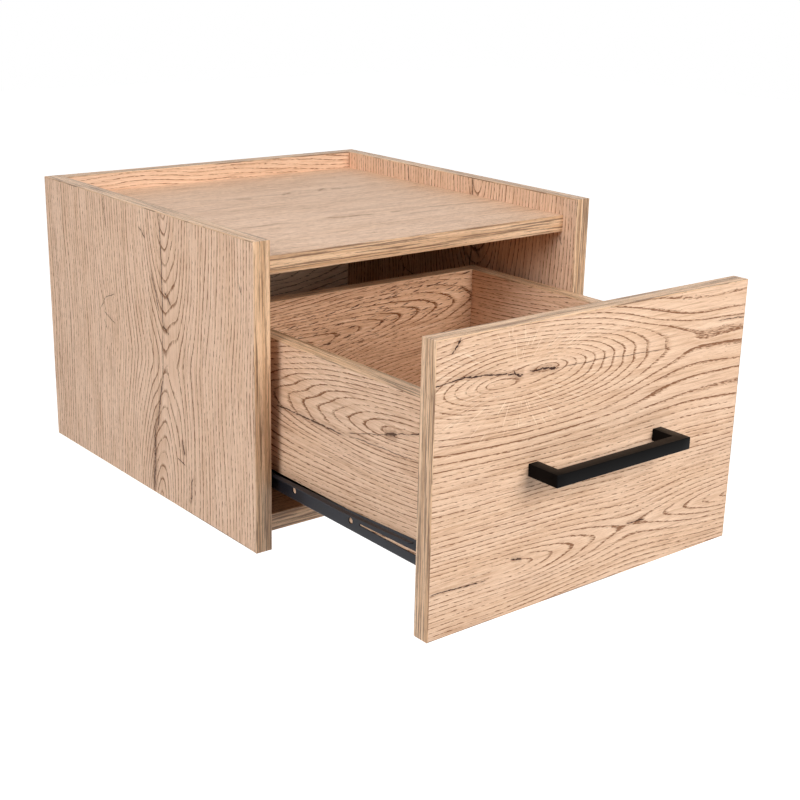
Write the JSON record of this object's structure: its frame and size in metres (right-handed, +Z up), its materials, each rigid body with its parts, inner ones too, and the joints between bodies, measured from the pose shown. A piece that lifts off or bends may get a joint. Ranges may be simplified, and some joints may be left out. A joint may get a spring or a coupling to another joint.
{
  "type": "wall-hung nightstand",
  "caption": "Wall-hung bedside cabinet in oak-decor board with a sunk tray top and one full-height inset drawer on roller runners, shown pulled open, with a black square bar handle.",
  "frame": {"origin": "middle of the rear face that lies against the wall, halfway up the side panels", "axes": "+X to the viewer's right, +Y from the front to the wall, +Z up"},
  "size_m": [0.432, 0.7, 0.309],
  "materials": {
    "oak_board": "oak-decor melamine with a fine open-pore grain, matt",
    "oak_edge_band": "oak-print edge band, matt",
    "hardboard": "thin oak-foiled hardboard, matt",
    "black_powder_coat": "satin black powder coat",
    "black_runner_steel": "black epoxy-coated sheet steel, semi-gloss",
    "black_nylon": "moulded nylon, satin",
    "zinc_plated_steel": "zinc-plated steel"
  },
  "bodies": {
    "cabinet": {"back_panel": "oak_board", "back_panel_top_band": "oak_edge_band", "bottom_panel": "oak_board", "bottom_panel_front_band": "oak_edge_band", "left_cabinet_runner": "black_runner_steel", "left_cabinet_runner_front_screw": "zinc_plated_steel", "left_cabinet_runner_rear_screw": "zinc_plated_steel", "left_front_roller_pin": "zinc_plated_steel", "left_hanging_plate": "zinc_plated_steel", "left_hanging_plate_lower_screw": "zinc_plated_steel", "left_hanging_plate_upper_screw": "zinc_plated_steel", "left_side_bottom_band": "oak_edge_band", "left_side_front_band": "oak_edge_band", "left_side_panel": "oak_board", "left_side_top_band": "oak_edge_band", "right_cabinet_runner": "black_runner_steel", "right_cabinet_runner_front_screw": "zinc_plated_steel", "right_cabinet_runner_rear_screw": "zinc_plated_steel", "right_front_roller_pin": "zinc_plated_steel", "right_hanging_plate": "zinc_plated_steel", "right_hanging_plate_lower_screw": "zinc_plated_steel", "right_hanging_plate_upper_screw": "zinc_plated_steel", "right_side_bottom_band": "oak_edge_band", "right_side_front_band": "oak_edge_band", "right_side_panel": "oak_board", "right_side_top_band": "oak_edge_band", "top_panel": "oak_board", "top_panel_front_band": "oak_edge_band"},
    "drawer": {"drawer_back": "oak_board", "drawer_back_top_band": "oak_edge_band", "drawer_base": "hardboard", "drawer_front": "oak_board", "drawer_front_bottom_band": "oak_edge_band", "drawer_front_top_band": "oak_edge_band", "handle": "black_powder_coat", "handle_screw_left": "zinc_plated_steel", "handle_screw_right": "zinc_plated_steel", "left_drawer_front_band": "oak_edge_band", "left_drawer_runner": "black_runner_steel", "left_drawer_runner_front_screw": "zinc_plated_steel", "left_drawer_runner_rear_screw": "zinc_plated_steel", "left_drawer_side": "oak_board", "left_drawer_side_top_band": "oak_edge_band", "left_rear_roller_pin": "zinc_plated_steel", "right_drawer_front_band": "oak_edge_band", "right_drawer_runner": "black_runner_steel", "right_drawer_runner_front_screw": "zinc_plated_steel", "right_drawer_runner_rear_screw": "zinc_plated_steel", "right_drawer_side": "oak_board", "right_drawer_side_top_band": "oak_edge_band", "right_rear_roller_pin": "zinc_plated_steel"},
    "left_front_roller": {"left_front_roller": "black_nylon"},
    "right_front_roller": {"right_front_roller": "black_nylon"},
    "left_rear_roller": {"left_rear_roller": "black_nylon"},
    "right_rear_roller": {"right_rear_roller": "black_nylon"}
  },
  "joints": [
    {"name": "drawer_slide", "type": "slide", "parent": "cabinet", "child": "drawer", "axis": [0, -1, 0], "range_m": [-0.234, 0.021]},
    {"name": "left_front_roller_spin", "type": "hinge", "parent": "cabinet", "child": "left_front_roller", "pos_m": [-0.1933, -0.396, -0.087], "axis": [1, 0, 0], "continuous": true},
    {"name": "left_rear_roller_spin", "type": "hinge", "parent": "drawer", "child": "left_rear_roller", "pos_m": [-0.1902, -0.3095, -0.0874], "axis": [1, 0, 0], "continuous": true},
    {"name": "right_front_roller_spin", "type": "hinge", "parent": "cabinet", "child": "right_front_roller", "pos_m": [0.1933, -0.396, -0.087], "axis": [1, 0, 0], "continuous": true},
    {"name": "right_rear_roller_spin", "type": "hinge", "parent": "drawer", "child": "right_rear_roller", "pos_m": [0.1902, -0.3095, -0.0874], "axis": [1, 0, 0], "continuous": true}
  ],
  "couplings": [
    {"joint": "left_front_roller_spin", "follows": "drawer_slide", "rad_per_m": 117.65},
    {"joint": "left_rear_roller_spin", "follows": "drawer_slide", "rad_per_m": 117.65},
    {"joint": "right_front_roller_spin", "follows": "drawer_slide", "rad_per_m": 117.65},
    {"joint": "right_rear_roller_spin", "follows": "drawer_slide", "rad_per_m": 117.65}
  ]
}
